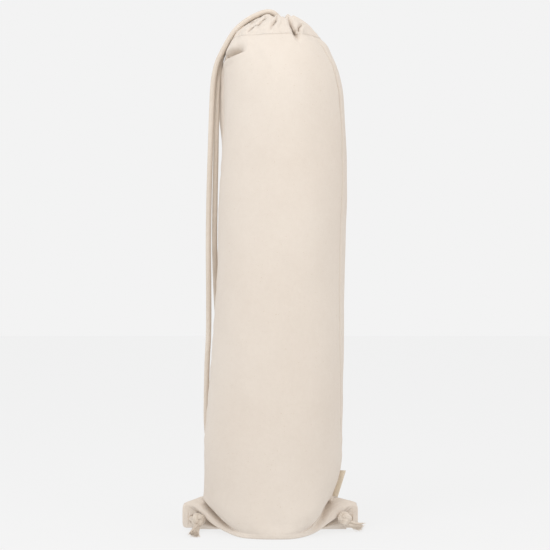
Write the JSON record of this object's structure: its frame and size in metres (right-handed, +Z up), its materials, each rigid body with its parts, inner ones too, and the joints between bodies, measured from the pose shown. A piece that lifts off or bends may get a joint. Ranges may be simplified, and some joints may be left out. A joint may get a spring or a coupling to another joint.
{
  "type": "yoga mat bag",
  "caption": "Tall round drawstring bag of natural canvas for a rolled yoga mat, gathered shut at the top, with a cord down one side to knots at the bottom corners.",
  "frame": {"origin": "on the floor, midway between the two corner loops and between front and back", "axes": "+Z up along the bag, the front faces -Y, +X to the right seen from the front"},
  "size_m": [0.2307, 0.1948, 0.6583],
  "materials": {
    "canvas": "matt plain-weave cotton, undyed",
    "cotton_cord": "matt twisted cotton cord, undyed",
    "tab_tape": "matt woven tape, bare"
  },
  "bodies": {
    "root": {"front_panel": "canvas", "back_panel": "canvas", "drawstring_casing": "canvas", "corner_loop_left": "canvas", "corner_loop_right": "canvas", "side_tab": "tab_tape", "knot_left": "cotton_cord", "knot_right": "cotton_cord", "strand_left": "cotton_cord", "strand_right": "cotton_cord"}
  },
  "joints": []
}
